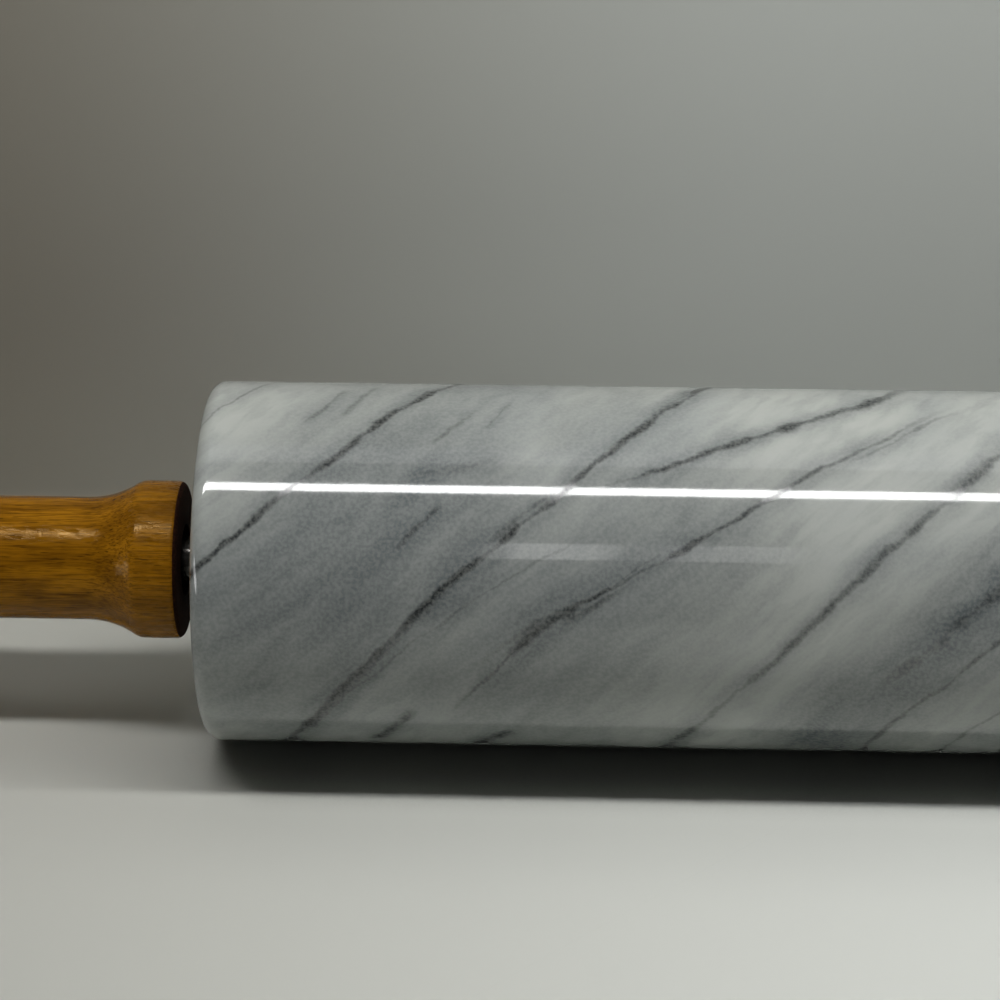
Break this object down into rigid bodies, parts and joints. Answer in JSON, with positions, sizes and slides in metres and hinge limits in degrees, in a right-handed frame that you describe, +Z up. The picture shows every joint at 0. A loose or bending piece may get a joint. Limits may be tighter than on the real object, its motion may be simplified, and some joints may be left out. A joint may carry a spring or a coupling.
{
  "type": "marble rolling pin",
  "caption": "Rolling pin: a polished marble barrel with rounded end edges turns freely on a steel rod between two turned wooden handles.",
  "frame": {"origin": "the middle of the barrel, on its axis", "axes": "+X along the rod towards the right handle, +Z up, so the barrel rests on the plane Z = -30 mm"},
  "size_m": [0.4566, 0.06, 0.06],
  "materials": {
    "marble": "polished",
    "nylon": "satin",
    "rod_steel": "satin",
    "washer_steel": "satin",
    "spring_steel": "satin",
    "insert_brass": "satin",
    "handle_wood": "gloss"
  },
  "bodies": {
    "axle": {"axle_rod": "rod_steel", "thrust_washer_left": "washer_steel", "thrust_washer_right": "washer_steel", "retaining_ring_left": "spring_steel", "retaining_ring_right": "spring_steel", "handle_insert_left": "insert_brass", "handle_insert_right": "insert_brass", "handle_left": "handle_wood", "handle_right": "handle_wood"},
    "barrel": {"marble_barrel": "marble", "bushing_left": "nylon", "bushing_right": "nylon"}
  },
  "joints": [
    {"name": "barrel_spin", "type": "hinge", "parent": "axle", "child": "barrel", "pos_m": [0, 0, 0], "axis": [1, 0, 0], "continuous": true}
  ]
}
